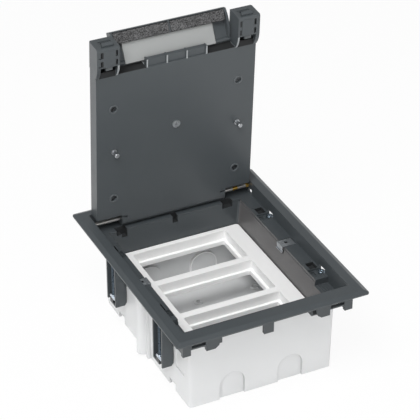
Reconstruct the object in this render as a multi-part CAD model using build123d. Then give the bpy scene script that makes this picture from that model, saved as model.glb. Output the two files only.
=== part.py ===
from build123d import *
import os

os.makedirs("parts", exist_ok=True)

# Floor socket box for a raised floor, drawn with its lid open as in use.
# X runs along the lid's hinge, Y from the cable side to the hinge, Z up, all in millimetres.
# Heights below are counted from the finished floor, the flat top of the flange.
# The saved parts are lifted so that Z is 0 under the feet of the box.

# Driving sizes
box_depth = 101.5           # floor level down to the feet
flange_x = 103.6            # half width of the flange
flange_y = 128.0            # half length of the flange
flange_thickness = 3.6
mouth_x = 89.8              # half width of the lid opening
mouth_front = -110.2
mouth_back = 116.0
wall_x = 92.0               # outside of the frame's side walls, inside the floor cut-out
wall_front = -115.4
ledge_top = -15.4           # where the closed lid rests
ledge_thickness = 3.0
ledge_bottom = ledge_top - ledge_thickness
well_x = 75.5               # half opening of the well at the ledge
well_y = 97.6
well_low_x = 72.0           # the same at the module carrier
well_low_y = 95.2
well_wall = 1.8
carrier_top = -43.3
carrier_height = 15.7
carrier_bottom = carrier_top - carrier_height

lid_x = 87.3
lid_thickness = 15.0
lid_front = -108.8
hinge_y = 107.6
hinge_z = -lid_thickness / 2
lid_open = 86.55            # how far the lid stands open in the rest position
lid_pin_radius = 2.0
bay_x = 64.2                # half width of the cable bay in the lid's free edge
bay_back = -73.7
flap_hinge_y = -77.4
flap_hinge_z = -3.6
flap_open = 30.0            # how far the cable flap stands raised in the rest position

recess_x = 107.0            # module recess in the carrier
recess_y = 53.6
recess_depth = 10.7
recess_rim = 3.0
recess_pitch = 61.8

box_screw_x = 82.6          # the two screws that draw the box up against the frame
box_screw_radius = 1.5
box_screw_seat = -17.6
box_screw_tip = -52.0

clamp_x = 89.2
clamp_y = 56.5
clamp_radius = 2.0
guide_bottom = -71.0

latch_mid = 75.2            # middle of each latch across the lid
latch_drop = 5.2            # how far the latch housing stands under the lid
latch_half = 9.0            # half width of the hollow that the latch slides in


def block(x, y, z):
    """A box between two values on each axis."""
    size = [abs(b - a) for a, b in (x, y, z)]
    middle = [(a + b) / 2 for a, b in (x, y, z)]
    return Pos(*middle) * Box(*size)


def rod(radius, start, end):
    """A cylinder between two points."""
    axis = Vector(*end) - Vector(*start)
    return Plane(Vector(*start), z_dir=axis) * Cylinder(
        radius, axis.length, align=(Align.CENTER, Align.CENTER, Align.MIN))


def slab(width, length, low, high, radius=0.0, y=0.0):
    """A plate with rounded corners between two heights."""
    outline = RectangleRounded(width, length, radius) if radius else Rectangle(width, length)
    return extrude(Pos(0, y, low) * outline, amount=high - low)


def tapered(low, high, bottom, top, radius):
    """A block whose walls have draft; bottom and top are (half x, half y)."""
    lower = Pos(0, 0, low) * RectangleRounded(2 * bottom[0], 2 * bottom[1], radius)
    upper = Pos(0, 0, high) * RectangleRounded(2 * top[0], 2 * top[1], radius)
    return loft([lower, upper], ruled=True)


def both_sides(shape):
    """The shape and its mirror image across the middle of the box."""
    return [shape, mirror(shape, Plane.YZ)]


def four_corners(shape):
    """The shape on both sides, at the front and at the back."""
    return both_sides(shape) + both_sides(mirror(shape, Plane.XZ))


def fuse(shapes):
    """One solid from touching shapes."""
    whole = shapes[0]
    for shape in shapes[1:]:
        whole = whole + shape
    return whole


def cut(whole, shapes):
    """The whole with every shape taken out."""
    for shape in shapes:
        whole = whole - shape
    return whole


def with_lid(shape):
    """Turn a shape drawn on the closed lid to the open lid."""
    return Pos(0, hinge_y, hinge_z) * Rot(-lid_open, 0, 0) * Pos(0, -hinge_y, -hinge_z) * shape


def with_flap(shape):
    """Raise a shape drawn on the closed flap, then open it with the lid."""
    raised = (Pos(0, flap_hinge_y, flap_hinge_z) * Rot(-flap_open, 0, 0)
              * Pos(0, -flap_hinge_y, -flap_hinge_z) * shape)
    return with_lid(raised)


def save(name, *shapes):
    """Write one node, of one or more solids, standing on the feet of the box."""
    lifted = [Pos(0, 0, box_depth) * shape for shape in shapes]
    whole = lifted[0] if len(lifted) == 1 else Compound(children=lifted)
    export_step(whole, os.path.join("parts", name + ".step"))


# Trim frame: flange, lid ledges, hinge trough, latch pockets and the tapered well
bevel_width = 4.7
bevel_height = 2.2
pocket_back = -69.2         # back of the corner pockets for the latches
pocket_floor = -22.2
pocket_thickness = 1.4
pocket_wall_x = 91.4
centre_ledge_x = 50.0
centre_ledge_top = -12.0
front_wall = 4.0
tab_bottom = -25.4
strike = (67.0, 83.4)       # the wall between the tabs, with the slot for the latch tongue
strike_bottom = -19.0
carrier_lip = 2.4
well_bottom = carrier_bottom - 2.0
clip_y = (-2.4, 9.4)        # the carrier clips stand a little behind the middle
clip_room = (clip_y[0] - 0.6, clip_y[1] + 0.6)
notch_wall = 1.2
notch_back = 105.8
notch_sizes = (((-67.0, -61.0), -21.5), ((-61.0, -55.0), -25.0), ((-3.4, 2.6), -23.5), ((54.5, 66.5), -22.5))


def make_flange():
    rim = slab(2 * flange_x, 2 * flange_y, -flange_thickness, -bevel_height, 3.0)
    lower = Pos(0, 0, -bevel_height) * RectangleRounded(2 * flange_x, 2 * flange_y, 3.0)
    upper = RectangleRounded(2 * (flange_x - bevel_width), 2 * (flange_y - bevel_width), 1.2)
    mouth_middle = (mouth_front + mouth_back) / 2
    mouth = slab(2 * mouth_x, mouth_back - mouth_front, -flange_thickness - 1, 1, 2.0, mouth_middle)
    return rim + loft([lower, upper], ruled=True) - mouth


def make_front_tabs():
    """The skirt under the front of the flange, with its hanging tabs and strike slots."""
    y = (wall_front, wall_front + front_wall)
    skirt = block((-wall_x, wall_x), y, (-13.6, -flange_thickness))
    tabs = [block((-5.2, 5.2), y, (tab_bottom, -13.6))]
    for side in (-1, 1):
        outline = Polyline((side * 51.0, -13.6), (side * 53.6, tab_bottom + 3), (side * 57.5, tab_bottom),
                           (side * 67.0, tab_bottom), (side * 67.0, -13.6), close=True)
        face = make_face(Plane.XZ * outline)
        tabs.append(extrude(Pos(0, y[1], 0) * face, amount=front_wall, dir=(0, -1, 0)))
        tabs.append(block((side * strike[1], side * wall_x), y, (tab_bottom, -13.6)))
        tabs.append(block((side * strike[0], side * strike[1]), y, (strike_bottom, -13.6)))
    slots = [block((side * (strike[0] + 0.8), side * (strike[1] - 0.8)), (y[0] - 1, y[1] + 1),
                   (-17.4, -12.6)) for side in (-1, 1)]
    return fuse([skirt] + tabs), slots


def make_trim_frame():
    flange = make_flange()
    sides = both_sides(block((mouth_x, wall_x), (pocket_back, mouth_back + 3.2),
                             (ledge_bottom, -flange_thickness)))
    corner_sides = both_sides(block((mouth_x, pocket_wall_x), (wall_front, pocket_back + 1.2),
                                    (pocket_floor - pocket_thickness, -flange_thickness)))
    back = block((-wall_x, wall_x), (mouth_back, mouth_back + 3.2), (ledge_bottom, -flange_thickness))
    trough = block((-mouth_x, mouth_x), (well_y, mouth_back), (ledge_bottom, ledge_top))
    ledges = both_sides(block((well_x, mouth_x), (pocket_back, well_y), (ledge_bottom, ledge_top)))
    ledge_ends = both_sides(block((well_x, mouth_x), (pocket_back, pocket_back + 1.2),
                                  (pocket_floor - pocket_thickness, ledge_bottom)))
    floor_z = (pocket_floor - pocket_thickness, pocket_floor)
    pocket_floors = both_sides(block((well_x, mouth_x), (-101, pocket_back), floor_z))
    pocket_floors += both_sides(block((centre_ledge_x, mouth_x), (-101, -well_y), floor_z))
    beside_strike = (wall_front + front_wall, -101)
    pocket_floors += both_sides(block((centre_ledge_x, strike[0]), beside_strike, floor_z))
    pocket_floors += both_sides(block((strike[1], mouth_x), beside_strike, floor_z))
    pocket_walls = both_sides(block((centre_ledge_x - 1.6, centre_ledge_x),
                                    (wall_front + front_wall, -well_y),
                                    (pocket_floor - pocket_thickness, centre_ledge_top)))
    centre_ledge = block((-centre_ledge_x, centre_ledge_x), (wall_front + 0.2, -well_y),
                         (centre_ledge_top - 2.4, centre_ledge_top))
    tabs, slots = make_front_tabs()
    body = fuse([flange, tabs, back, trough, centre_ledge] + sides + corner_sides + ledges + ledge_ends
                + pocket_floors + pocket_walls)

    # The well: walls with draft down to the carrier, then straight to the lip that holds it
    outer = tapered(carrier_top, ledge_bottom + 0.2, (well_low_x + well_wall, well_low_y + well_wall),
                    (well_x + well_wall, well_y + well_wall), 5.0)
    outer += slab(2 * (well_low_x + well_wall), 2 * (well_low_y + well_wall), well_bottom, carrier_top, 5.0)
    inner = tapered(carrier_top, ledge_top + 4, (well_low_x, well_low_y), (well_x + 0.5, well_y + 0.4), 3.2)
    inner += slab(2 * well_low_x, 2 * well_low_y, carrier_bottom, carrier_top, 3.2)
    inner += slab(2 * (well_low_x - carrier_lip), 2 * (well_low_y - carrier_lip),
                  well_bottom - 1, carrier_bottom, 2.0)
    keep_clear = block((-centre_ledge_x, centre_ledge_x), (-well_y, 0), (ledge_top - 1, 2))
    latch_space = both_sides(block((centre_ledge_x, mouth_x), (wall_front + front_wall, pocket_back),
                                   (pocket_floor, -flange_thickness)))
    body = cut(body + outer - inner - keep_clear, latch_space)
    pocket_ribs = []
    for x in (77.6, 80.4, 83.2, 86.0):
        pocket_ribs += both_sides(block((x - 0.5, x + 0.5), (-96, pocket_back),
                                        (pocket_floor, pocket_floor + 0.5)))
    body = fuse([body] + pocket_ribs)

    # Clamp pockets in the ledges, open through the side wall
    pockets = four_corners(block((76.6, wall_x + 1), (clamp_y - 5.5, clamp_y + 5.5), (-18.1, -11.5)))
    seats = four_corners(block((well_x - 0.6, wall_x), (clamp_y - 7, clamp_y + 7), (-20.6, ledge_bottom)))
    body = fuse([body] + seats)
    holes = four_corners(rod(clamp_radius + 0.4, (clamp_x, clamp_y, -22), (clamp_x, clamp_y, -17)))
    wells = four_corners(block((77.4, 82.6), (clamp_y - 4.5, clamp_y + 4.5), (-19.9, -17)))
    cups = []
    cup_hollows = []
    rims = []
    for y in (clamp_y, -clamp_y):
        cups += both_sides(block((78.8, 89.0), (y + 5.3, y + 17.9), (-20.5, ledge_bottom + 0.5)))
        cup_hollows += both_sides(block((79.6, 88.2), (y + 6.1, y + 17.1), (-19.7, ledge_top + 1)))
        rim = block((76.6, mouth_x + 0.1), (y - 7.4, y + 19.2), (ledge_top - 0.5, ledge_top + 0.3))
        rims += both_sides(rim - block((77.5, mouth_x + 1), (y - 6.5, y + 18.3), (ledge_top, 0)))

    # Pockets along the well's back wall, closed behind
    notches = [block(x, (well_low_y + 1, notch_back - notch_wall), (low, ledge_top + 1))
               for x, low in notch_sizes]
    notch_cases = [block((x[0] - notch_wall, x[1] + notch_wall), (well_y, notch_back),
                         (low - notch_wall, ledge_bottom + 0.5)) for x, low in notch_sizes]
    body = cut(fuse([body] + cups + rims + notch_cases), pockets)

    # Bores for the hinge pins and the box screws, and slots for the carrier clips
    bores = both_sides(rod(lid_pin_radius + 0.06, (mouth_x - 1, hinge_y, hinge_z),
                           (wall_x + 1, hinge_y, hinge_z)))
    bores += both_sides(rod(box_screw_radius + 0.2, (box_screw_x, 0, -20), (box_screw_x, 0, -16)))
    bores += both_sides(rod(2.9, (box_screw_x, 0, box_screw_seat), (box_screw_x, 0, ledge_top)))
    clip_slots = both_sides(block((well_x - 2.2, well_x + 1.0), clip_room, (-24, ledge_top + 1)))
    clip_seats = both_sides(block((well_x - 1, 89.2), clip_room, (ledge_top - 1.2, ledge_top + 1)))
    hinge_slits = both_sides(block((mouth_x - 1, wall_x + 1), (99.0, 106.4), (ledge_top, -9.6)))
    slots += holes + wells + cup_hollows + hinge_slits
    return cut(body, slots + bores + notches + clip_slots + clip_seats)


# Back box: drafted walls, floor on a skirt of feet, arched cable knockouts, screw columns
box_bottom = (78.6, 100.6)
box_top = (80.0, 102.0)
box_wall = 2.4
box_floor = -94.0
arch_x = 32.0
arch_width = 27.0
arch_top = -72.0
arch_depth = 3.4
fixing_x = 66.0
fixing_y = 43.0


def arch(width, top, y, depth):
    """An upright arch of the given depth, from under the feet to its round top."""
    half = width / 2
    low = -box_depth - 1
    shoulder = top - half
    profile = Polyline((half, shoulder), (half, low), (-half, low), (-half, shoulder))
    profile += ThreePointArc((-half, shoulder), (0, top), (half, shoulder))
    return extrude(Pos(0, y, 0) * make_face(Plane.XZ * profile), amount=depth, dir=(0, 1, 0))


def make_back_box():
    floor_top = box_floor + 2.5
    shell = tapered(-box_depth, ledge_bottom, box_bottom, box_top, 4.0)
    inner_low = (box_bottom[0] - box_wall + 0.1, box_bottom[1] - box_wall + 0.1)
    inner_high = (box_top[0] - box_wall, box_top[1] - box_wall)
    shell -= tapered(floor_top, ledge_bottom + 1, inner_low, inner_high, 2.0)
    shell -= slab(2 * inner_low[0] - 1, 2 * inner_low[1] - 1, -box_depth - 1, box_floor, 2.0)

    # Liners carry the knockout panels, set back into the box
    for side in (-1, 1):
        for wall_y, direction in ((-box_top[1], 1), (box_top[1], -1)):
            start = wall_y + 2.2 if direction > 0 else wall_y - 2.2 - arch_depth
            liner = Pos(side * arch_x, 0, 0) * arch(arch_width + 4, arch_top + 2, start, arch_depth)
            shell += liner - block((-90, 90), (-110, 110), (-130, box_floor))
    for side in (-1, 1):
        for start in (-box_top[1] - 1, box_top[1] - arch_depth):
            shell -= Pos(side * arch_x, 0, 0) * arch(arch_width, arch_top, start, arch_depth + 1)

    # Side knockouts between the clamps, shallow panels and the notches over the side feet
    panels = []
    for side in (-1, 1):
        for y in (-81, 81):
            panels.append(block((side * (box_bottom[0] - 0.4), side * 90), (y - 9.5, y + 9.5), (-69, -24)))
        for y in (-62, 62):
            panels.append(block((side * 70, side * 90), (y - 6.8, y + 6.8), (-box_depth - 1, -94.2)))
    shell = cut(shell, panels)
    front_rim = block((-90, 90), (-110, pocket_back + 1.2), (pocket_floor - pocket_thickness, 0))
    trough_gap = both_sides(block((70, 90), (clamp_y - 18.2, clamp_y + 18.2), (-20.8, 0)))
    trough_gap += [mirror(shape, Plane.XZ) for shape in trough_gap]
    notch_gaps = [block((x[0] - notch_wall - 0.3, x[1] + notch_wall + 0.3), (98, notch_back + 0.3),
                        (low - notch_wall - 0.3, 0)) for x, low in notch_sizes]
    shell = cut(shell, [front_rim] + trough_gap + notch_gaps)

    # Half-round columns for the box screws, and fixing bosses on the floor
    columns = both_sides(rod(6.6, (83.0 - 0.6, 0, -98.0), (83.0 - 0.6, 0, ledge_bottom)))
    keep_out = tapered(floor_top, ledge_bottom + 1, inner_low, inner_high, 2.0)
    columns = [column - keep_out for column in columns]
    ribs = both_sides(block((79, 82), (-10.5, -6), (-box_depth, ledge_bottom)))
    ribs = [rib - keep_out for rib in ribs]
    column_bores = both_sides(rod(box_screw_radius + 0.05, (box_screw_x, 0, box_screw_tip - 2),
                                  (box_screw_x, 0, ledge_bottom + 1)))
    places = [Pos(x, y, 0) for x in (-fixing_x, 0, fixing_x) for y in (-fixing_y, fixing_y)]
    bosses = [place * rod(4.6, (0, 0, box_floor), (0, 0, floor_top + 1.6)) for place in places]
    boss_holes = [place * rod(2.3, (0, 0, box_floor - 1), (0, 0, floor_top + 4)) for place in places]
    shell = fuse([shell] + columns + ribs + bosses)
    return cut(shell, boss_holes + column_bores)


# Module carrier: one tray with three recesses, each with a rim around its window
carrier_x = 71.0
carrier_y = 94.2
carrier_skin = 2.0


def make_module_carrier():
    tray = slab(2 * carrier_x, 2 * carrier_y, carrier_bottom, carrier_top, 3.0)
    recess_floor = carrier_top - recess_depth
    side_start = recess_x / 2 + carrier_skin
    hollows = both_sides(block((side_start, carrier_x - carrier_skin),
                               (-carrier_y + carrier_skin, carrier_y - carrier_skin),
                               (carrier_bottom - 1, carrier_top - carrier_skin)))
    divider = (recess_pitch - recess_y) / 2 - carrier_skin
    for y in (-recess_pitch / 2, recess_pitch / 2):
        hollows.append(block((-side_start + 4, side_start - 4), (y - divider, y + divider),
                             (carrier_bottom - 1, carrier_top - carrier_skin)))
    tray = cut(tray, hollows)
    for row in (-1, 0, 1):
        y = row * recess_pitch
        tray -= slab(recess_x, recess_y, recess_floor, carrier_top + 1, 1.5, y)
        tray -= slab(recess_x - 2 * recess_rim, recess_y - 2 * recess_rim,
                     carrier_bottom - 1, recess_floor, 1.0, y)
    return tray


def make_box_screws():
    """The screws that hold the box to the frame, each under the plate of a carrier clip."""
    head = rod(2.8, (box_screw_x, 0, box_screw_seat), (box_screw_x, 0, box_screw_seat + 0.8))
    shank = rod(box_screw_radius, (box_screw_x, 0, box_screw_tip), (box_screw_x, 0, box_screw_seat))
    return both_sides(head + shank)


# Spring clips that hold the carrier down, one on each ledge
clip_thickness = 0.8


def make_carrier_clip(side):
    top = ledge_top - 0.3
    x_out = 88.6
    x_in = well_x - 1.4
    x_leg = x_in - clip_thickness
    toe_top = -22.6 + clip_thickness
    plate = block((side * x_in, side * x_out), clip_y, (top - clip_thickness, top))
    leg = block((side * x_leg, side * x_in), clip_y, (-22.6, top))
    toe = block((side * (x_leg - 0.9), side * x_leg), clip_y, (-22.6, toe_top))
    emboss = block((side * 78.4, side * 82.4), (0.2, 3.2), (top, top + 0.3))
    hole = rod(1.3, (side * 80.4, 5.8, top - 2), (side * 80.4, 5.8, top + 2))
    return plate + leg + toe + emboss - hole


# Clamps: a guide outside the wall at each corner, with a screw that draws its claw up
guide_width = 22.0
guide_wall = 2.0
guide_mouth = 92.0
guide_back = 81.6
guide_flare = 79.9
guide_top = -20.6
nut_rest = -68.8
nut_height = 4.0
claw_rest = nut_rest + nut_height + 0.3
claw_plate = 1.8
claw_reach = 8.0


def make_clamp_guide():
    y = (clamp_y - guide_width / 2, clamp_y + guide_width / 2)
    body = block((guide_back, guide_mouth), y, (guide_bottom, guide_top))
    foot = block((guide_flare, guide_mouth), y, (guide_bottom, -46))
    channel = block((guide_back + guide_wall, guide_mouth + 1), (y[0] + guide_wall, y[1] - guide_wall),
                    (guide_bottom + 2, guide_top + 1))
    bevel_line = Polyline((guide_flare - 1, guide_bottom - 1), (guide_flare + 2.6, guide_bottom - 1),
                          (guide_flare - 1, guide_bottom + 5), close=True)
    bevel = extrude(Pos(0, y[1] + 1, 0) * make_face(Plane.XZ * bevel_line),
                    amount=guide_width + 2, dir=(0, -1, 0))
    tip_hole = rod(clamp_radius + 0.3, (clamp_x, clamp_y, guide_bottom - 1),
                   (clamp_x, clamp_y, guide_bottom + 3))
    trim = block((clamp_x - 1.4, guide_mouth + 1), (clamp_y + 3.6, y[1] - guide_wall),
                 (guide_bottom - 1, guide_bottom + 3))
    return body + foot - channel - bevel - tip_hole - trim


def make_clamp_screw():
    head_top = -15.7
    head = rod(3.6, (0, 0, head_top - 2.2), (0, 0, head_top))
    head = fillet(head.edges().group_by(Axis.Z)[-1], 0.9)
    shank = rod(clamp_radius, (0, 0, guide_bottom + 0.6), (0, 0, head_top - 2.2))
    slots = [Rot(0, 0, angle) * block((-2.1, 2.1), (-0.45, 0.45), (head_top - 1.3, head_top + 1))
             for angle in (45, 135)]
    return Pos(clamp_x, clamp_y, 0) * cut(head + shank, slots)


def make_clamp_nut():
    """A nut too deep for its channel to turn in it, so that it climbs the screw."""
    nut = block((guide_back + guide_wall + 0.3, guide_mouth), (clamp_y - 3.6, clamp_y + 3.6),
                (nut_rest, nut_rest + nut_height))
    return nut - rod(clamp_radius + 0.06, (clamp_x, clamp_y, nut_rest - 1), (clamp_x, clamp_y, claw_rest))


def make_clamp_claw():
    """A bent steel claw on the nut, stowed along the wall until it swings out under the floor."""
    plate_z = (claw_rest, claw_rest + claw_plate)
    collar_top = claw_rest + 3.8
    outer_x = guide_mouth - clamp_x
    hub = rod(4.6, (0, 0, plate_z[0]), (0, 0, plate_z[1]))
    hub += rod(3.2, (0, 0, claw_rest), (0, 0, collar_top))
    hub &= block((-6, outer_x), (-6, 6), (claw_rest, collar_top))
    arm = block((-3.2, outer_x), (0, claw_reach), plate_z)
    tooth = block((-3.2, outer_x), (claw_reach - claw_plate, claw_reach), (claw_rest, claw_rest + 5.2))
    claw = hub + arm + tooth
    low_edges = claw.edges().filter_by(Axis.X).sort_by(lambda edge: edge.center().Z - edge.center().Y)
    claw = fillet(low_edges[0], 1.4)
    claw -= rod(clamp_radius + 0.08, (0, 0, claw_rest - 1), (0, 0, collar_top + 1))
    return Pos(clamp_x, clamp_y, 0) * claw


# Lid: a ribbed tray with a steel plate, hinge eyes, the cable bay and the latch housings
tray_x = 84.6
tray_front = -68.5
tray_back = 96.5
web = 2.6
plate_top = -5.2
plate_thickness = 2.0
corner_cut = 59.0
corner_front = 98.6
screw_x = 68.7
screw_y = (74.3, -33.6)
peg_y = 16.8
peg_radius = 1.8
housing_back = -72.6
window_front = -87.0
hollow_back = -79.0
beside_spring = -74.0       # the hollow runs on to here on both sides of the spring's seat
spring_seat = 3.4
pad_half = 6.6
flap_pin_radius = 1.1


def make_lid_panel():
    body = block((-lid_x, lid_x), (lid_front, hinge_y), (-lid_thickness, 0))
    body += rod(lid_thickness / 2, (-lid_x, hinge_y, hinge_z), (lid_x, hinge_y, hinge_z))
    tray = block((-tray_x, tray_x), (tray_front, tray_back), (web - lid_thickness, 1))
    corners = both_sides(block((corner_cut, lid_x + 1), (corner_front, hinge_y + 10),
                               (-lid_thickness - 1, 1)))
    bay = block((-bay_x, bay_x), (lid_front - 1, bay_back), (-lid_thickness - 1, 1))
    body = cut(body, [tray, bay] + corners)

    # Ribs under the steel plate, and bosses and bores for its screws and the pegs
    rib_top = plate_top - plate_thickness
    rib_z = (web - lid_thickness, rib_top)
    ribs = [block((x - 0.9, x + 0.9), (tray_front, tray_back), rib_z) for x in (-56, -28, 0, 28, 56)]
    ribs += [block((-tray_x, tray_x), (y - 0.9, y + 0.9), rib_z) for y in (-40, -12, 16, 44, 72)]
    seats = both_sides(block((tray_x - 2.5, tray_x), (tray_front, tray_back), rib_z))
    points = [(side * screw_x, y) for side in (-1, 1) for y in screw_y] + [(0, 1.0)]
    bosses = [Pos(x, y, 0) * rod(5.0, (0, 0, web - lid_thickness), (0, 0, rib_top)) for x, y in points]
    body = fuse([body] + ribs + seats + bosses)
    rings = [Pos(x, y, 0) * rod(4.75, (0, 0, -lid_thickness - 0.6), (0, 0, -lid_thickness + 1))
             for x, y in points[:4]]
    body = fuse([body] + rings)
    for x, y in points[:4]:
        body -= Pos(x, y, 0) * rod(3.4, (0, 0, -lid_thickness - 1), (0, 0, -lid_thickness + 3.2))
    for x, y in points:
        body -= Pos(x, y, 0) * rod(1.5, (0, 0, -lid_thickness - 1), (0, 0, rib_top + 1))
    for side in (-1, 1):
        body -= Pos(side * screw_x, peg_y, 0) * rod(peg_radius, (0, 0, -lid_thickness - 1),
                                                    (0, 0, web - lid_thickness + 3))

    # Hinge eyes, the ribbed ledge behind the flap's hinge and the slots by the lid's hinge
    eyes = both_sides(rod(lid_pin_radius, (50, hinge_y, hinge_z), (corner_cut + 1, hinge_y, hinge_z)))
    body = cut(body, eyes)
    fingers = [block((x - 0.8, x + 0.8), (-82.4, bay_back + 0.5), (-lid_thickness, -9.2))
               for x in (-32.4, -10.8, 10.8, 32.4)]
    fingers.append(block((-32, 32), (-81.8, bay_back + 0.5), (-13.6, -9.2)))
    small_slots = both_sides(block((53, 58), (100.6, 102.4), (-lid_thickness - 1, -lid_thickness + 2.4)))
    pin_holes = both_sides(rod(flap_pin_radius + 0.06, (bay_x - 1, flap_hinge_y, flap_hinge_z),
                               (bay_x + 4, flap_hinge_y, flap_hinge_z)))
    return cut(fuse([body] + fingers + make_housings()), small_slots + pin_holes + housing_cuts())


def housing_outline(top):
    """The side view of a latch housing, curved down to the lid's face behind its window."""
    face_z = -lid_thickness - latch_drop
    outline = Polyline((housing_back, -lid_thickness), top, (lid_front, top[1]), (lid_front, face_z + 1.0),
                       (lid_front + 1.6, face_z), (window_front, face_z))
    outline += ThreePointArc((window_front, face_z), (-79.0, face_z + 1.7), (housing_back, -lid_thickness))
    return make_face(Plane.YZ * outline)


def make_housings():
    """The latch housings under the two front corners, with their raised pads and side cheeks."""
    housings = []
    for side in (-1, 1):
        start = bay_x if side > 0 else -lid_x
        body = housing_outline((housing_back, -lid_thickness + 1))
        housings.append(extrude(Pos(start, 0, 0) * body, amount=lid_x - bay_x, dir=(1, 0, 0)))
        start = lid_x - 0.5 if side > 0 else -lid_x - 0.8
        cheek = housing_outline((housing_back - 7.0, -1.0))
        housings.append(extrude(Pos(start, 0, 0) * cheek, amount=1.3, dir=(1, 0, 0)))
        pad = RectangleRounded(2 * pad_half, 18.4, 1.2)
        pad = Pos(side * latch_mid, window_front - 9.4, -lid_thickness - latch_drop - 0.4) * pad
        housings.append(extrude(pad, amount=1.0))
    return housings


def housing_cuts():
    """Hollows for the latches, their mouths in the free edge, and the windows and slits below."""
    below = -lid_thickness - latch_drop - 1
    cuts = []
    for side in (-1, 1):
        mid = side * latch_mid
        inside = (mid - latch_half, mid + latch_half)
        cuts.append(block(inside, (lid_front + 1.6, hollow_back), (-18.6, -5.8)))
        for low, high in ((-latch_half, -spring_seat), (spring_seat, latch_half)):
            cuts.append(block((mid + low, mid + high), (hollow_back - 0.5, beside_spring),
                              (web - lid_thickness, -5.8)))
        cuts.append(block((mid - 6.6, mid + 6.6), (lid_front - 1, lid_front + 2), (-17.1, -5.8)))
        cuts.append(block(inside, (window_front, hollow_back), (below, -17)))
        cuts.append(block(inside, (hollow_back - 0.1, housing_back + 1), (below, -lid_thickness)))
        for y in ((-104.6, -98.0), (-94.4, -88.4)):
            cuts.append(block((mid + 7.4, mid + latch_half), y, (below, -18)))
            if side < 0:
                cuts.append(block((mid - latch_half, mid - 8.0), y, (below, -18)))
                cuts.append(block((mid - 11.0, mid - 8.5), (y[1] - 1.1, y[1]), (below, below + 2)))
    return cuts


def make_lid_plate():
    plate = block((-tray_x + 0.3, tray_x - 0.3), (tray_front + 0.3, tray_back - 0.3),
                  (plate_top - plate_thickness, plate_top))
    plate = fillet(plate.edges().filter_by(Axis.Z), 3.0)
    points = [(side * screw_x, y) for side in (-1, 1) for y in screw_y] + [(0, 1.0)]
    return cut(plate, [Pos(x, y, 0) * rod(1.5, (0, 0, -10), (0, 0, 0)) for x, y in points])


def make_lid_screws():
    """Four recessed screws and a flat one in the middle, through the lid into the plate."""
    tip = plate_top - 0.2
    screws = []
    for side in (-1, 1):
        for y in screw_y:
            head = rod(2.9, (0, 0, -lid_thickness + 1.2), (0, 0, -lid_thickness + 3.2))
            shank = rod(1.5, (0, 0, -lid_thickness + 3.2), (0, 0, tip))
            drive = Rot(0, 0, 45) * block((-1.7, 1.7), (-0.4, 0.4), (-lid_thickness, -lid_thickness + 2.2))
            drive += Rot(0, 0, 135) * block((-1.7, 1.7), (-0.4, 0.4), (-lid_thickness, -lid_thickness + 2.2))
            screws.append(Pos(side * screw_x, y, 0) * (head + shank - drive))
    head = rod(4.2, (0, 0, -lid_thickness - 1.4), (0, 0, -lid_thickness))
    shank = rod(1.5, (0, 0, -lid_thickness), (0, 0, tip))
    screws.append(Pos(0, 1.0, 0) * (head + shank))
    return [with_lid(screw) for screw in screws]


def make_lid_pegs():
    pegs = []
    for side in (-1, 1):
        peg = rod(peg_radius, (0, 0, -lid_thickness - 8.0), (0, 0, web - lid_thickness + 3))
        peg += rod(3.0, (0, 0, -lid_thickness - 1.6), (0, 0, -lid_thickness))
        tip = rod(2.5, (0, 0, -lid_thickness - 9.8), (0, 0, -lid_thickness - 6.2))
        peg += chamfer(tip.edges().group_by(Axis.Z)[0], 0.7)
        pegs.append(with_lid(Pos(side * screw_x, peg_y, 0) * peg))
    return pegs


# Latches: a sliding tongue behind each front corner of the lid, pushed out by a spring
tongue_out = 3.6
spring_turns = 5
spring_radius = 2.0
spring_wire = 0.7


def make_latch_slider(side):
    """A carriage with a hollow grip in the free edge, a bevelled tongue and a tab in the window."""
    low, high = -18.3, -6.1
    inner_front = lid_front + 1.9
    x = (latch_mid - latch_half + 0.4, latch_mid + latch_half - 0.4)
    body = block(x, (inner_front, -88.0), (low, high))
    grip = block((latch_mid - 6.2, latch_mid + 6.2), (lid_front + 0.5, inner_front + 1), (-13.8, high))
    hollow = block((latch_mid - 4.6, latch_mid + 4.6), (lid_front - 1, lid_front + 2.6), (-12.6, -7.3))
    outline = Polyline((inner_front + 1, -14.2), (lid_front - tongue_out, -14.2),
                       (lid_front - tongue_out, -14.9), (lid_front - tongue_out + 1.9, -16.8),
                       (inner_front + 1, -16.8), close=True)
    tongue = extrude(Pos(latch_mid - 6.0, 0, 0) * make_face(Plane.YZ * outline), amount=12.0, dir=(1, 0, 0))
    neck = block((latch_mid - 3.6, latch_mid + 3.6), (-88.5, -83.4), (low, -17.0))
    tab = block((latch_mid - 3.6, latch_mid + 3.6), (-86.6, -83.4), (-19.9, -17.5))
    pocket = rod(2.7, (latch_mid, -92, -13.2), (latch_mid, -87, -13.2))
    slider = cut(fuse([body, grip, tongue, neck, tab]), [hollow, pocket])
    return slider if side > 0 else mirror(slider, Plane.YZ)


def make_latch_spring(side):
    """A wire coil between the back of the housing and the pocket of the slider."""
    start = hollow_back - 0.4
    length = 12.0
    coil = Helix(length / spring_turns, length, spring_radius)
    wire = sweep(Plane(coil @ 0, z_dir=coil % 0) * RegularPolygon(spring_wire / 2, 6), path=coil)
    spring = Pos(latch_mid, start, -13.2) * Rot(90, 0, 0) * wire
    return spring if side > 0 else mirror(spring, Plane.YZ)


# Cable flap: a lid within the lid, with a grey plate and two foam strips under it
flap_x = 63.2
flap_front = -109.4
flap_skin = 3.6
barrel_radius = 2.2
plate_bottom = -6.8


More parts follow.
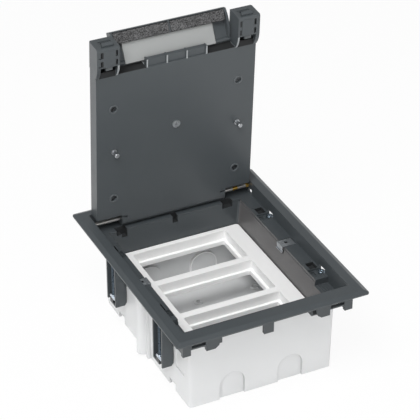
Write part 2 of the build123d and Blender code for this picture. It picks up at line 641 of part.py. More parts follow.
def make_flap_shell():
    skin = block((-flap_x, flap_x), (flap_front, flap_hinge_y), (-flap_skin, 0))
    barrel = rod(barrel_radius, (-flap_x, flap_hinge_y, flap_hinge_z), (flap_x, flap_hinge_y, flap_hinge_z))
    shell = skin + barrel
    cheeks = []
    for side in (-1, 1):
        low = flap_hinge_z - barrel_radius + 0.2
        outline = Polyline((flap_hinge_y, low), (flap_hinge_y, -2),
                           (flap_front + 0.6, -2), (flap_front + 0.6, -8.6))
        outline += ThreePointArc((flap_front + 0.6, -8.6), (-97.0, -11.3), (flap_hinge_y, low))
        face = make_face(Plane.YZ * outline)
        start = flap_x - 2.4 if side > 0 else -flap_x
        cheeks.append(extrude(Pos(start, 0, 0) * face, amount=2.4, dir=(1, 0, 0)))
    rib = block((-0.8, 0.8), (flap_front + 0.6, -96.5), (-9.0, -2))
    front_lip = block((-flap_x, flap_x), (flap_front, flap_front + 1.2), (-6.4, -2))
    shell = fuse([shell] + cheeks + [rib, front_lip])
    bores = both_sides(rod(flap_pin_radius, (flap_x - 7, flap_hinge_y, flap_hinge_z),
                           (flap_x + 1, flap_hinge_y, flap_hinge_z)))
    return cut(shell, bores)


def make_flap_pins():
    pins = both_sides(rod(flap_pin_radius, (flap_x - 7, flap_hinge_y, flap_hinge_z),
                          (bay_x + 1.8, flap_hinge_y, flap_hinge_z)))
    return [with_flap(pin) for pin in pins]


def make_flap_plate():
    """The grey plate over the flap's hinge barrel, hollowed to clear it."""
    plate = block((-52.0, 46.4), (-96.5, -75.8), (plate_bottom, -flap_skin))
    groove = rod(barrel_radius + 0.15, (-60, flap_hinge_y, flap_hinge_z), (60, flap_hinge_y, flap_hinge_z))
    return plate - groove


def make_foam(side):
    x = (1.2, flap_x - 2.8) if side > 0 else (-flap_x + 2.8, -1.2)
    return block(x, (flap_front + 1.6, -96.6), (-10.4, -flap_skin))


save("trim_frame", make_trim_frame())
save("back_box", make_back_box())
save("module_carrier", make_module_carrier())
save("box_screws", *make_box_screws())
for side, side_name in ((-1, "left"), (1, "right")):
    save("carrier_clip_" + side_name, make_carrier_clip(side))
    save("foam_strip_" + side_name, with_flap(make_foam(side)))
    save("latch_slider_" + side_name, with_lid(make_latch_slider(side)))
    save("latch_spring_" + side_name, with_lid(make_latch_spring(side)))
    pin = rod(lid_pin_radius, (side * 50, hinge_y, hinge_z), (side * (wall_x - 0.4), hinge_y, hinge_z))
    save("hinge_pin_" + side_name, pin)
corner_names = ("rear_right", "rear_left", "front_right", "front_left")
for label, make in (("clamp_guide_", make_clamp_guide), ("clamp_screw_", make_clamp_screw),
                    ("clamp_nut_", make_clamp_nut)):
    for corner_name, shape in zip(corner_names, four_corners(make())):
        save(label + corner_name, shape)

# The claws are all alike, so that each swings out as its screw turns clockwise
for side_name, turn in (("right", 0), ("left", 180)):
    claw = make_clamp_claw()
    moved = Pos(0, -2 * clamp_y, 0) * claw
    rear, front = (claw, moved) if turn == 0 else (moved, claw)
    save("clamp_claw_rear_" + side_name, Rot(0, 0, turn) * rear)
    save("clamp_claw_front_" + side_name, Rot(0, 0, turn) * front)
save("lid_panel", with_lid(make_lid_panel()))
save("lid_plate", with_lid(make_lid_plate()))
save("lid_screws", *make_lid_screws())
save("lid_pegs", *make_lid_pegs())
save("flap_shell", with_flap(make_flap_shell()))
save("flap_pins", *make_flap_pins())
save("flap_plate", with_flap(make_flap_plate()))
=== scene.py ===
import bpy
import bmesh
import math
from mathutils import Matrix, Vector, noise


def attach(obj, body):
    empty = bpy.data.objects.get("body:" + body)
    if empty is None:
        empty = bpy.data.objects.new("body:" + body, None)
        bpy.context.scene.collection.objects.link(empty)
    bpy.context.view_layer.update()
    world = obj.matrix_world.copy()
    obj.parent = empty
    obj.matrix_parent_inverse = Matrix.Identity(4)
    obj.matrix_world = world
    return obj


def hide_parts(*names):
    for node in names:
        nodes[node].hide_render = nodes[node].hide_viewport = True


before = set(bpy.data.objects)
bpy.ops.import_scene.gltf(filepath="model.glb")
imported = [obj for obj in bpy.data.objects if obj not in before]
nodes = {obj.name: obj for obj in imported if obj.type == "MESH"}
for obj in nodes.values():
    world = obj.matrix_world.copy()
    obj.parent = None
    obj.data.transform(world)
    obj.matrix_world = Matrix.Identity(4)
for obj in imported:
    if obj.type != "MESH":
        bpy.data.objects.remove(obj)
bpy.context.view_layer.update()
print("frame loaded with", len(nodes), "nodes")

# the lid is drawn closed and then opened, so its pieces take these turns; sizes in mm from floor level
box = {
    "depth": 101.5,
    "lidHinge": (107.6, -7.5),
    "lidOpen": 86.55,
    "lidFace": -15.0,
    "flapHinge": (-77.4, -3.6),
    "flapOpen": 30.0,
}
toMetres = Matrix.Scale(0.001, 4) @ Matrix.Translation((0, 0, box["depth"]))


def turned(hinge, degrees):
    there = Matrix.Translation((0, hinge[0], hinge[1]))
    return there @ Matrix.Rotation(math.radians(degrees), 4, "X") @ there.inverted()


onLid = toMetres @ turned(box["lidHinge"], -box["lidOpen"])
onFlap = onLid @ turned(box["flapHinge"], -box["flapOpen"])


def standingHeight(along):
    # height above floor level, in mm, that a place along the closed lid has when it is open
    return (onLid @ Vector((0, along, box["lidFace"]))).z * 1000 - box["depth"]


# shader maths in plain Python: wire * 2 + 1 adds its own nodes
class Wire:
    def __init__(self, finish, socket):
        self.finish = finish
        self.socket = socket

    def maths(self, operation, other, swapped=False):
        pair = (other, self) if swapped else (self, other)
        return self.finish.add("ShaderNodeMath", {"operation": operation}, dict(enumerate(pair)))

    def __add__(self, other):
        return self.maths("ADD", other)

    def __radd__(self, other):
        return self.maths("ADD", other, True)

    def __sub__(self, other):
        return self.maths("SUBTRACT", other)

    def __rsub__(self, other):
        return self.maths("SUBTRACT", other, True)

    def __mul__(self, other):
        return self.maths("MULTIPLY", other)

    def __rmul__(self, other):
        return self.maths("MULTIPLY", other, True)

    def __pow__(self, other):
        return self.maths("POWER", other)

    def __rpow__(self, other):
        return self.maths("POWER", other, True)

    def above(self, edge):
        return self.maths("GREATER_THAN", edge)

    def between(self, low, high):
        return self.above(low) * (1 - self.above(high))

    def atLeast(self, other):
        return self.maths("MAXIMUM", other)

    def size(self):
        # the value without its sign
        return self.finish.add("ShaderNodeMath", {"operation": "ABSOLUTE"}, {0: self})


# one material or world, built node by node; sizes are in mm
class Finish:
    def __init__(self, name, owner=None):
        self.material = owner or bpy.data.materials.new(name)
        self.material.use_nodes = True
        self.tree = self.material.node_tree
        self.tree.nodes.clear()

    def add(self, kind, settings=None, sockets=None, out=0):
        node = self.tree.nodes.new(kind)
        for name, value in (settings or {}).items():
            if name == "stops":
                ramp = node.color_ramp
                while len(ramp.elements) < len(value):
                    ramp.elements.new(0.5)
                for element, (place, colour) in zip(ramp.elements, value):
                    element.position = place
                    element.color = colour
            else:
                setattr(node, name, value)
        for name, value in (sockets or {}).items():
            if isinstance(value, Wire):
                self.tree.links.new(value.socket, node.inputs[name])
            else:
                node.inputs[name].default_value = value
        return Wire(self, node.outputs[out]) if len(node.outputs) else None

    def place(self):
        return self.add("ShaderNodeTexCoord", out="Object")

    def facing(self, axis):
        # how far the surface faces along an axis, from -1 to 1
        return self.part(axis, self.add("ShaderNodeNewGeometry", out="Normal"))

    def part(self, axis, vector):
        return self.add("ShaderNodeSeparateXYZ", None, {"Vector": vector}, out=axis)

    def along(self, axis):
        # place along an axis in mm, with Z counted from floor level as the pieces were drawn
        metres = self.part(axis, self.place())
        return metres * 1000 - (box["depth"] if axis == "Z" else 0.0)

    def cloud(self, size, detail=3.0, roughness=0.5, stretch=(1, 1, 1)):
        # soft noise from 0 to 1 whose lumps are about size across
        spot = self.add("ShaderNodeMapping", None, {"Vector": self.place(), "Scale": stretch})
        return self.add("ShaderNodeTexNoise", None,
                        {"Vector": spot, "Scale": 1000 / size, "Detail": detail, "Roughness": roughness})

    def blend(self, share, low, high):
        return self.add("ShaderNodeMix", {"data_type": "RGBA"}, {0: share, 6: low, 7: high}, out=2)

    def bump(self, height, strength, depth, edge=0.0):
        # relief of the given depth, with edges that look rounded by the radius edge
        sockets = {"Height": height, "Strength": strength, "Distance": depth / 1000}
        if edge:
            sockets["Normal"] = self.add("ShaderNodeBevel", {"samples": 6}, {"Radius": edge / 1000})
        return self.add("ShaderNodeBump", None, sockets)

    def surface(self, sockets):
        self.output(self.add("ShaderNodeBsdfPrincipled", None, sockets))
        return self.material

    def output(self, shader, kind="ShaderNodeOutputMaterial"):
        self.add(kind, None, {"Surface": shader})

    def backdrop(self):
        # 1 where the eye, a reflection or a clear body sees the surroundings, 0 where they only light
        eye, gloss, clear = [self.add("ShaderNodeLightPath", out="Is %s Ray" % kind)
                             for kind in ("Camera", "Glossy", "Transmission")]
        return eye.atLeast(gloss).atLeast(clear)


def screen(red, green, blue):
    # a colour as it looks on screen, from 0 to 255, made linear
    return tuple(((c / 255 + 0.055) / 1.055) ** 2.4 if c > 10 else c / 255 / 12.92
                 for c in (red, green, blue)) + (1.0,)


# marks on the lid's inner side, painted highlights on rib and lug ends and painted shade in gaps, windows
# and slits: from and to beside the middle, then top and foot along the closed lid
lidMarks = {
    # painted highlight colour for the rib and lug ends
    "bright": screen(158, 162, 164),
    "ribEnds": (
        (10.0, 11.6, -82.4, -73.4),
        (31.6, 33.2, -82.4, -73.4),
    ),
    "lugEnds": (
        (64.1, 66.3, -86.6, -72.8),
    ),
    # painted shade for the gaps, windows and slits below
    "shade": screen(16, 17, 18),
    "gapsBesideRibs": (
        (33.4, 63.5, -74.4, -73.3),
    ),
    "latchWindows": (
        (66.4, 84.0, -79.4, -72.4),
    ),
    "housingSlits": (
        (81.4, 84.2, -104.6, -98.0),
        (81.4, 84.2, -94.4, -88.4),
        (66.2, 68.2, -104.6, -98.0),
        (66.2, 68.2, -94.4, -88.4),
    ),
    "cover": 0.92,
    "sideways": 0.5,
    "matt": 0.4,
}
lidScrewRims = {
    "across": 68.7,
    "rows": (74.3, -33.6),
    "hollow": 3.1,
    "rim": 4.9,
    # painted highlight colour of the rims
    "tone": screen(84, 89, 92),
    "cover": 0.9,
}


def lidSpot(finish, near, far, top, foot):
    height = finish.along("Z").between(standingHeight(foot), standingHeight(top))
    return finish.along("X").size().between(near, far) * height


def paintedHighlights(finish, colour, spots, bright):
    # painted highlights on rounded ends, kept off the walls beside them
    for spot in spots:
        frontal = 1 - finish.facing("X").size().above(lidMarks["sideways"])
        colour = finish.blend(lidSpot(finish, *spot) * frontal * lidMarks["cover"], colour, bright)
    return colour


def lidTouches(finish, colour, rough):
    m, r = lidMarks, lidScrewRims
    colour = paintedHighlights(finish, colour, m["ribEnds"] + m["lugEnds"], m["bright"])
    # painted shade in the gaps beside the ribs, the latch windows and the housing slits
    for spot in m["gapsBesideRibs"] + m["latchWindows"] + m["housingSlits"]:
        dark = lidSpot(finish, *spot)
        rough = rough + dark * m["matt"]
        colour = finish.blend(dark * m["cover"], colour, m["shade"])
    for row in r["rows"]:
        # painted highlight on the raised rims round the sunk screws, and painted shade in their hollow
        aside = finish.along("X").size() - r["across"]
        reach = (aside ** 2 + (finish.along("Z") - standingHeight(row)) ** 2) ** 0.5
        colour = finish.blend(reach.between(r["hollow"], r["rim"]) * r["cover"], colour, r["tone"])
        hollow = 1 - reach.above(r["hollow"])
        colour = finish.blend(hollow * r["cover"], colour, m["shade"])
        rough = rough + hollow * m["matt"]
    return colour, rough


# painted highlight on the front of each latch's tab, a little lighter than the window that it stands in
sliderMarks = {
    "tabs": (
        (71.4, 79.0, -86.8, -83.2),
    ),
    "bright": screen(82, 86, 88),
}


def sliderTouches(finish, colour, rough):
    return paintedHighlights(finish, colour, sliderMarks["tabs"], sliderMarks["bright"]), rough


# painted shade in pockets of the frame: from and to beside the middle, then front, back, low and high; and
# painted light on the well's wall
frameMarks = {
    "shade": screen(16, 17, 18),
    "pockets": (
        (-1.0, 70.0, 97.9, 105.0, -25.5, -15.5),
        (79.4, 88.4, 62.4, 73.8, -20.0, -15.5),
        (79.4, 88.4, -50.6, -39.2, -20.0, -15.5),
    ),
    "pocketCover": 0.8,
    "matt": 0.4,
    "wellWallLight": screen(96, 94, 94),
    "wellFrom": 70.0,
    "wellTo": 77.2,
    "wellFacing": 0.8,
    "wellCover": 0.9,
}


def frameTouches(finish, colour, rough):
    m = frameMarks
    # painted shade in the frame's pockets
    for near, far, front, back, low, high in m["pockets"]:
        inside = finish.along("X").size().between(near, far) * finish.along("Y").between(front, back)
        inside = inside * finish.along("Z").between(low, high)
        colour = finish.blend(inside * m["pocketCover"], colour, m["shade"])
        rough = rough + inside * m["matt"]
    # painted light: the well's right wall is painted lighter and warmer, for the light the white carrier
    # beside it throws back
    inward = (0 - finish.facing("X")).above(m["wellFacing"])
    wall = inward * finish.along("X").between(m["wellFrom"], m["wellTo"])
    return finish.blend(wall * m["wellCover"], colour, m["wellWallLight"]), rough


# arched knockouts of the back box: a painted highlight, white, on the arch's edge seen from inside, and a
# faint joint in the front wall
archMarks = {
    "across": 32.0,
    "middle": -85.5,
    "edge": (14.3, 15.7),
    "edgeHighlight": screen(255, 255, 255),
    "edgeBehind": 70.0,
    "edgeAbove": -93.6,
    "edgeFacing": -0.5,
    "joint": (13.0, 13.8),
    "jointTone": screen(150, 151, 152),
    "jointBefore": -88.0,
    "jointCover": 0.35,
}


def archReach(finish, aside):
    # distance from the middle of an arch, or from its upright middle line below that
    rise = (finish.along("Z") - archMarks["middle"]).atLeast(0.0)
    return ((aside - archMarks["across"]) ** 2 + rise ** 2) ** 0.5


def boxTouches(finish, colour, rough):
    m = archMarks
    # painted highlight along the arch's edge, on faces turned to the front
    edge = archReach(finish, finish.along("X")).between(*m["edge"])
    edge = edge * finish.along("Y").above(m["edgeBehind"]) * finish.along("Z").above(m["edgeAbove"])
    edge = edge * (0 - finish.facing("Y")).above(m["edgeFacing"])
    colour = finish.blend(edge, colour, m["edgeHighlight"])
    joint = archReach(finish, finish.along("X").size()).between(*m["joint"])
    joint = joint * (0 - finish.along("Y")).above(-m["jointBefore"])
    return finish.blend(joint * m["jointCover"], colour, m["jointTone"]), rough


# moulded plastics
graphite = {
    "dark": screen(64, 69, 72), "light": screen(72, 77, 80), "gloss": 0.36, "grain": 0.10, "edge": 0.45}
plastics = {
    "graphite": graphite,
    "frameGraphite": graphite,
    "lidGraphite": graphite,
    "sliderGraphite": {
        "dark": screen(62, 67, 70), "light": screen(70, 75, 78), "gloss": 0.36, "grain": 0.10, "edge": 0.45},
    "black": {
        "dark": screen(24, 25, 27), "light": screen(32, 33, 35), "gloss": 0.36, "grain": 0.10, "edge": 0.3},
    "pale": {
        "dark": screen(216, 217, 218), "light": screen(223, 224, 224),
        "gloss": 0.38, "grain": 0.06, "edge": 0.5},
    "white": {
        "dark": screen(247, 247, 247), "light": screen(252, 252, 251),
        "gloss": 0.32, "grain": 0.05, "edge": 0.5},
    "greyPlate": {
        "dark": screen(144, 146, 146), "light": screen(154, 156, 155),
        "gloss": 0.40, "grain": 0.2, "edge": 0.3},
}
touches = {
    "frameGraphite": frameTouches,
    "lidGraphite": lidTouches,
    "sliderGraphite": sliderTouches,
    "pale": boxTouches,
}
moulding = {
    "flow": 50.0,
    "flowShare": 0.7,
    "grain": 0.55,
    "grainGloss": 0.08,
    "grainDepth": 0.06,
    "handled": 12.0,
    "handledGloss": 0.16,
    "specular": 0.55,
}


def mouldedPlastic(name):
    look, m = plastics[name], moulding
    finish = Finish(name + "Plastic")
    flow = finish.cloud(m["flow"], 4.0)
    grain = finish.cloud(m["grain"], 2.0, 0.6)
    handled = finish.cloud(m["handled"], 5.0, 0.65)
    mottle = flow * m["flowShare"] + grain * (1 - m["flowShare"])
    colour = finish.blend(mottle, look["dark"], look["light"])
    rough = look["gloss"] + (handled - 0.5) * m["handledGloss"] + (grain - 0.5) * m["grainGloss"]
    if name in touches:
        colour, rough = touches[name](finish, colour, rough)
    return finish.surface({
        "Base Color": colour,
        "Roughness": rough,
        "Normal": finish.bump(grain, look["grain"], m["grainDepth"], look["edge"]),
        "Specular IOR Level": m["specular"],
    })


# zinc, drawn wire and brushed steel
metals = {
    "zinc": {"dark": screen(182, 192, 202), "light": screen(224, 231, 238), "rough": 0.26},
    # painted shade: a darker copy of the zinc, for the clamp screws in their guides
    "threadZinc": {"dark": screen(92, 106, 118), "light": screen(164, 178, 190), "rough": 0.30},
    "stamped": {"dark": screen(128, 132, 136), "light": screen(240, 244, 248), "rough": 0.46},
    "springWire": {"dark": screen(120, 121, 123), "light": screen(165, 166, 168), "rough": 0.35},
    "brushed": {"dark": screen(150, 153, 156), "light": screen(200, 203, 206), "rough": 0.34,
                "streak": (1, 0.06, 1)},
}
plating = {
    "spangle": 2.2,
    "spangleGloss": 0.22,
    "fine": 0.4,
    "relief": 0.2,
    "reliefDepth": 0.03,
    "edge": 0.25,
}
screwShade = {
    "headFoot": -19.5,
    "tone": screen(40, 50, 60),
    "cover": 0.3,
}
clipHoleShade = {
    "across": (79.0, 82.0),
    "along": (2.0, 5.0),
    "tone": screen(20, 21, 22),
    "cover": 0.95,
}


def platedMetal(name):
    look, p = metals[name], plating
    streak = look.get("streak", (1, 1, 1))
    finish = Finish(name + "Metal")
    spangle = finish.cloud(p["spangle"], 3.0, 0.6, streak)
    fine = finish.cloud(p["fine"], 2.0, 0.5, streak)
    colour = finish.blend(spangle, look["dark"], look["light"])
    if name == "threadZinc":
        # painted shade: the shaft below the head stands in the guide's shade
        shaft = 1 - finish.along("Z").above(screwShade["headFoot"])
        colour = finish.blend(shaft * screwShade["cover"], colour, screwShade["tone"])
    if name == "stamped":
        # painted shade where the clip has a hole
        hole = finish.along("X").size().between(*clipHoleShade["across"])
        hole = hole * finish.along("Y").between(*clipHoleShade["along"])
        colour = finish.blend(hole * clipHoleShade["cover"], colour, clipHoleShade["tone"])
    return finish.surface({
        "Base Color": colour,
        "Metallic": 1.0,
        "Roughness": look["rough"] + (spangle - 0.5) * p["spangleGloss"],
        "Normal": finish.bump(fine, p["relief"], p["reliefDepth"], p["edge"]),
    })


# hinge pins of bare steel, with two patches of yellow zinc left on the right one
pinLook = {
    "dark": screen(168, 168, 166),
    "light": screen(216, 215, 212),
    "yellow": screen(206, 168, 84),
    "innerPatch": (71.2, 76.8),
    "outerPatch": 86.2,
    "patchSize": 6.0,
    "patchWaver": 4.0,
    "grain": 1.0,
    "rough": 0.28,
    "roughSwing": 0.15,
    "relief": 0.1,
    "reliefDepth": 0.04,
    "edge": 0.2,
}


def pinSteel():
    p = pinLook
    finish = Finish("pinSteel")
    patch = finish.cloud(p["patchSize"], 3.0, 0.6)
    across = finish.along("X") + (patch - 0.5) * p["patchWaver"]
    yellow = across.between(*p["innerPatch"]) + across.above(p["outerPatch"])
    steel = finish.blend(finish.cloud(p["grain"], 2.0), p["dark"], p["light"])
    return finish.surface({
        "Base Color": finish.blend(yellow, steel, p["yellow"]),
        "Metallic": 1.0,
        "Roughness": p["rough"] + patch * p["roughSwing"],
        "Normal": finish.bump(patch, p["relief"], p["reliefDepth"], p["edge"]),
    })


# lid screws: the four sunk ones are darker, the flat one in the middle is bright
lidScrewLook = {
    "dark": screen(172, 178, 182),
    "light": screen(226, 230, 232),
    "sunkTone": screen(92, 94, 96),
    "sunkBeyond": 30.0,
    "spangle": 1.5,
    "rough": 0.30,
    "roughSwing": 0.2,
    "relief": 0.15,
    "reliefDepth": 0.03,
    "edge": 0.2,
}


def screwSteel():
    s = lidScrewLook
    finish = Finish("screwSteel")
    sunk = finish.along("X").size().above(s["sunkBeyond"])
    spangle = finish.cloud(s["spangle"], 3.0)
    bright = finish.blend(spangle, s["dark"], s["light"])
    return finish.surface({
        "Base Color": finish.blend(sunk, bright, s["sunkTone"]),
        "Metallic": 1.0,
        "Roughness": s["rough"] + (spangle - 0.5) * s["roughSwing"],
        "Normal": finish.bump(spangle, s["relief"], s["reliefDepth"], s["edge"]),
    })


# open-cell foam, dark with grey specks
foamLook = {
    "dark": screen(24, 24, 25),
    "light": screen(114, 114, 115),
    "cellsPerMetre": 900.0,
    "speckle": 1.3,
    "speckleShare": 0.85,
    "patches": 6.0,
    "darkUpTo": 0.40,
    "lightFrom": 0.62,
    "rough": 0.95,
    "speckleHeight": 1.5,
    "relief": 0.9,
    "reliefDepth": 0.6,
}


def foamFinish():
    f = foamLook
    finish = Finish("openCellFoam")
    cells = finish.add("ShaderNodeTexVoronoi", {"feature": "F1"},
                       {"Vector": finish.place(), "Scale": f["cellsPerMetre"], "Randomness": 1.0})
    speckle = finish.cloud(f["speckle"], 4.0, 0.75)
    patches = finish.cloud(f["patches"], 2.0)
    stops = [(f["darkUpTo"], (0, 0, 0, 1)), (f["lightFrom"], (1, 1, 1, 1))]
    share = finish.add("ShaderNodeValToRGB", {"stops": stops},
                       {"Fac": speckle * f["speckleShare"] + patches * (1 - f["speckleShare"])})
    return finish.surface({
        "Base Color": finish.blend(share, f["dark"], f["light"]),
        "Roughness": f["rough"],
        "Normal": finish.bump(cells + speckle * f["speckleHeight"], f["relief"], f["reliefDepth"]),
    })


finishes = {name: mouldedPlastic(name) for name in plastics}
finishes.update({name: platedMetal(name) for name in metals})
finishes["pin"] = pinSteel()
finishes["screw"] = screwSteel()
finishes["foam"] = foamFinish()
print("finishes made:", ", ".join(finishes))

# how the name of a node starts, and its finish
nodeFinish = {
    "trim_frame": "frameGraphite",
    "back_box": "pale",
    "module_carrier": "white",
    "carrier_clip": "stamped",
    "clamp_guide": "graphite",
    "clamp_screw": "zinc",
    "clamp_nut": "black",
    "clamp_claw": "zinc",
    "box_screws": "zinc",
    "lid_panel": "lidGraphite",
    "lid_plate": "brushed",
    "lid_screws": "screw",
    "lid_pegs": "brushed",
    "hinge_pin": "pin",
    "latch_slider": "sliderGraphite",
    "latch_spring": "springWire",
    "flap_shell": "graphite",
    "flap_pins": "zinc",
    "flap_plate": "greyPlate",
    "foam_strip": "foam",
}
for name, piece in nodes.items():
    key = next(start for start in nodeFinish if name.startswith(start))
    piece.data.materials.clear()
    piece.data.materials.append(finishes[nodeFinish[key]])
print("nodes dressed")

mergeBelow = 0.002  # vertices nearer than this, in mm, are one
planeSlack = 0.0001


def newPiece(name, mesh, placed, finish, body, smooth=40):
    # closes a bmesh drawn in mm into a named piece that rides on a body
    bmesh.ops.remove_doubles(mesh, verts=mesh.verts, dist=mergeBelow)
    bmesh.ops.recalc_face_normals(mesh, faces=mesh.faces)
    bmesh.ops.transform(mesh, matrix=placed, verts=mesh.verts)
    data = bpy.data.meshes.new(name)
    mesh.to_mesh(data)
    mesh.free()
    piece = bpy.data.objects.new(name, data)
    bpy.context.scene.collection.objects.link(piece)
    data.materials.append(finishes[finish])
    data.shade_smooth()
    data.set_sharp_from_angle(angle=math.radians(smooth))
    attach(piece, body)
    return piece


def everything(mesh):
    return mesh.verts[:] + mesh.edges[:] + mesh.faces[:]


# clamp screws, with a rolled thread under the drawn head
threadSizes = {
    "pitch": 0.7,
    "root": 1.62,
    "crest": 1.99,
    "bottom": -70.2,
    "top": -18.3,
    "intoHead": 0.6,
    "pointShare": 0.6,
    "pointRise": 0.1,
    "runIn": 1.2,
    "runOut": 0.8,
    "ridgeWidth": 0.52,
    "ridgeSunk": 0.1,
    "sides": 24,
    "steps": 12,
    "screwX": 89.2,
    "screwY": 56.5,
}


def clampScrew(name, side, end):
    s = threadSizes
    mesh = bmesh.new()
    mesh.from_mesh(nodes[name].data)
    bmesh.ops.transform(mesh, matrix=toMetres.inverted(), verts=mesh.verts)
    bmesh.ops.remove_doubles(mesh, verts=mesh.verts, dist=mergeBelow)
    # the head stays as drawn, and the shank under it makes way for the thread
    cut = bmesh.ops.bisect_plane(mesh, geom=everything(mesh), dist=planeSlack,
                                 plane_co=(0, 0, s["top"]), plane_no=(0, 0, 1), clear_inner=True)
    rim = [e for e in cut["geom_cut"] if isinstance(e, bmesh.types.BMEdge)]
    bmesh.ops.contextual_create(mesh, geom=rim)
    middle = Matrix.Translation((side * s["screwX"], end * s["screwY"], 0))
    coreTop = s["top"] + s["intoHead"]
    halfWay = Matrix.Translation((0, 0, (coreTop + s["bottom"]) / 2))
    core = bmesh.ops.create_cone(mesh, cap_ends=True, segments=s["sides"], depth=coreTop - s["bottom"],
                                 radius1=s["root"], radius2=s["root"], matrix=middle @ halfWay)
    point = [v for v in core["verts"] if v.co.z < s["bottom"] + s["pointRise"]]
    bmesh.ops.scale(mesh, vec=(s["pointShare"], s["pointShare"], 1), verts=point, space=middle.inverted())
    # a three-cornered ridge runs up the core
    foot = s["bottom"] + s["runIn"]
    sunk = s["root"] - s["ridgeSunk"]
    corners = ((sunk, 0), (s["crest"], s["ridgeWidth"] / 2), (sunk, s["ridgeWidth"]))
    ridge = [mesh.verts.new(middle @ Vector((r, 0, foot + z))) for r, z in corners]
    profile = [mesh.edges.new((ridge[i], ridge[(i + 1) % 3])) for i in range(3)]
    start = bmesh.ops.contextual_create(mesh, geom=profile)["faces"]
    turns = (s["top"] - s["bottom"] - s["runIn"] - s["runOut"]) / s["pitch"]
    steps = int(turns * s["steps"])
    bmesh.ops.spin(mesh, geom=start, cent=middle.translation, axis=(0, 0, 1),
                   dvec=(0, 0, s["pitch"] / s["steps"]), angle=steps / s["steps"] * 2 * math.pi,
                   steps=steps, use_duplicate=False)
    body = name.replace("clamp_", "")
    screw = newPiece(name + "_threaded", mesh, toMetres, "threadZinc", body)
    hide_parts(name)


for side, sideName in ((1, "right"), (-1, "left")):
    for end, endName in ((1, "rear"), (-1, "front")):
        clampScrew("clamp_screw_" + endName + "_" + sideName, side, end)
print("clamp screws threaded")


# foam strips in the flap, drawn with the flap closed
foam = {
    "inner": 1.0,
    "outer": 60.3,
    "front": -107.7,
    "back": -96.7,
    "low": -10.3,
    "high": -3.7,
    "corner": 0.8,
    "grid": 0.8,
    "rough": 0.22,
    "shrink": 0.12,
    "lumps": ((1.1, 0.7), (2.7, 0.5)),
}


def foamStrip(side, sideName):
    f = foam
    mesh = bmesh.new()
    size = (f["outer"] - f["inner"], f["back"] - f["front"], f["high"] - f["low"])
    middle = Vector((side * (f["outer"] + f["inner"]), f["back"] + f["front"], f["high"] + f["low"])) / 2
    bmesh.ops.create_cube(mesh, size=1.0, matrix=Matrix.Translation(middle) @ Matrix.Diagonal((*size, 1)))
    bmesh.ops.bevel(mesh, geom=mesh.edges[:], offset=f["corner"], offset_type="OFFSET", affect="EDGES",
                    segments=2, profile=0.5, material=-1)
    # cut into a fine grid, so that its cut faces can be uneven
    for axis in range(3):
        count = int(size[axis] / f["grid"])
        normal = Vector((0, 0, 0))
        normal[axis] = 1
        for i in range(1, count):
            spot = Vector(middle)
            spot[axis] += size[axis] * (i / count - 0.5)
            bmesh.ops.bisect_plane(mesh, geom=everything(mesh), dist=planeSlack,
                                   plane_co=spot, plane_no=normal)
    for v in mesh.verts:
        push = sum(noise.noise(v.co * often) * height for often, height in f["lumps"])
        v.co += (v.co - middle).normalized() * (push * f["rough"] - f["shrink"])
    strip = newPiece("foam_" + sideName, mesh, onFlap, "foam", "flap", 180)
    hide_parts("foam_strip_" + sideName)


foamStrip(-1, "left")
foamStrip(1, "right")
print("foam strips made")


# camera, as the photograph was taken
view = {
    "at": (-0.7287, -1.4838, 1.2209),
    "tilt": 57.068,
    "turn": -25.927,
    "lens": 170.83,
    "sensor": 36.0,
    "near": 0.05,
    "far": 60.0,
}
camera = bpy.data.objects.new("camera", bpy.data.cameras.new("camera"))
bpy.context.scene.collection.objects.link(camera)
camera.location = view["at"]
camera.rotation_euler = (math.radians(view["tilt"]), 0, math.radians(view["turn"]))
camera.data.sensor_width = view["sensor"]
camera.data.lens = view["lens"]
camera.data.clip_start = view["near"]
camera.data.clip_end = view["far"]
bpy.context.scene.camera = camera

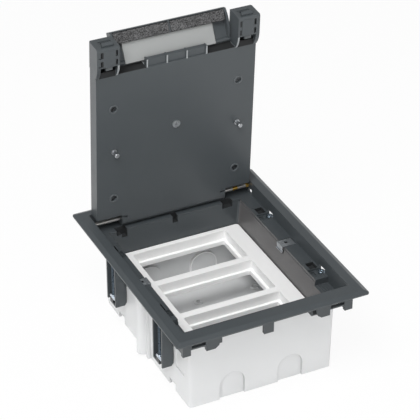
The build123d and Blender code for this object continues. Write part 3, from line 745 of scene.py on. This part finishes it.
# lamps, world and floor; a white horizon and a grey ceiling are what the gloss mirrors
studio = {
    "ceilingGrey": 0.30,
    "horizon": (0.08, 0.38),
    "aim": (0, 0, 0.12),
    "lamps": {
        "top": {"at": (-0.75, -0.6, 1.75), "size": 1.0, "watts": 29.0},
        "key": {"at": (-1.1, -1.7, 0.9), "size": 1.4, "watts": 8.0},
        "fill": {"at": (1.5, -1.3, 0.9), "size": 1.4, "watts": 4.0},
    },
    "floorDark": screen(244, 244, 244),
    "floorLight": screen(247, 247, 247),
    "floorClouds": 300.0,
    "floorShare": 0.93,
    "floorReach": 6.0,
    "floorDrop": 0.0002,
}
white = (1.0, 1.0, 1.0, 1.0)
for name, spec in studio["lamps"].items():
    lamp = bpy.data.objects.new(name, bpy.data.lights.new(name, "AREA"))
    lamp.data.shape = "SQUARE"
    lamp.data.size = spec["size"]
    lamp.data.energy = spec["watts"]
    lamp.location = spec["at"]
    aim = Vector(studio["aim"]) - Vector(spec["at"])
    lamp.rotation_euler = aim.to_track_quat("-Z", "Y").to_euler()
    bpy.context.scene.collection.objects.link(lamp)

world = bpy.data.worlds.new("studio")
bpy.context.scene.world = world
air = Finish("studio", world)
upward = air.part("Z", air.add("ShaderNodeTexCoord", out="Generated"))
ceiling = air.add("ShaderNodeMapRange", {"interpolation_type": "SMOOTHSTEP"}, {
    "Value": upward, "From Min": studio["horizon"][0], "From Max": studio["horizon"][1]})
airColour = air.blend(ceiling, white, (studio["ceilingGrey"],) * 3 + (1.0,))
air.output(air.add("ShaderNodeBackground", None, {"Color": airColour}), "ShaderNodeOutputWorld")

floorFinish = Finish("paleFloor")
dust = floorFinish.cloud(studio["floorClouds"], 3.0)
floorColour = floorFinish.blend(dust, studio["floorDark"], studio["floorLight"])
matte = floorFinish.add("ShaderNodeBsdfDiffuse", None, {"Color": floorColour})
glow = floorFinish.add("ShaderNodeEmission", None, {"Color": white, "Strength": 1.0})
floorFinish.output(floorFinish.add("ShaderNodeMixShader", None, {
    0: floorFinish.backdrop() * studio["floorShare"], 1: matte, 2: glow}))
mesh = bmesh.new()
bmesh.ops.create_grid(mesh, x_segments=4, y_segments=4, size=studio["floorReach"])
data = bpy.data.meshes.new("floor")
mesh.to_mesh(data)
mesh.free()
floor = bpy.data.objects.new("floor", data)
floor.location.z = -studio["floorDrop"]
bpy.context.scene.collection.objects.link(floor)
data.materials.append(floorFinish.material)
bpy.context.scene.view_settings.view_transform = "Standard"
print("studio set")
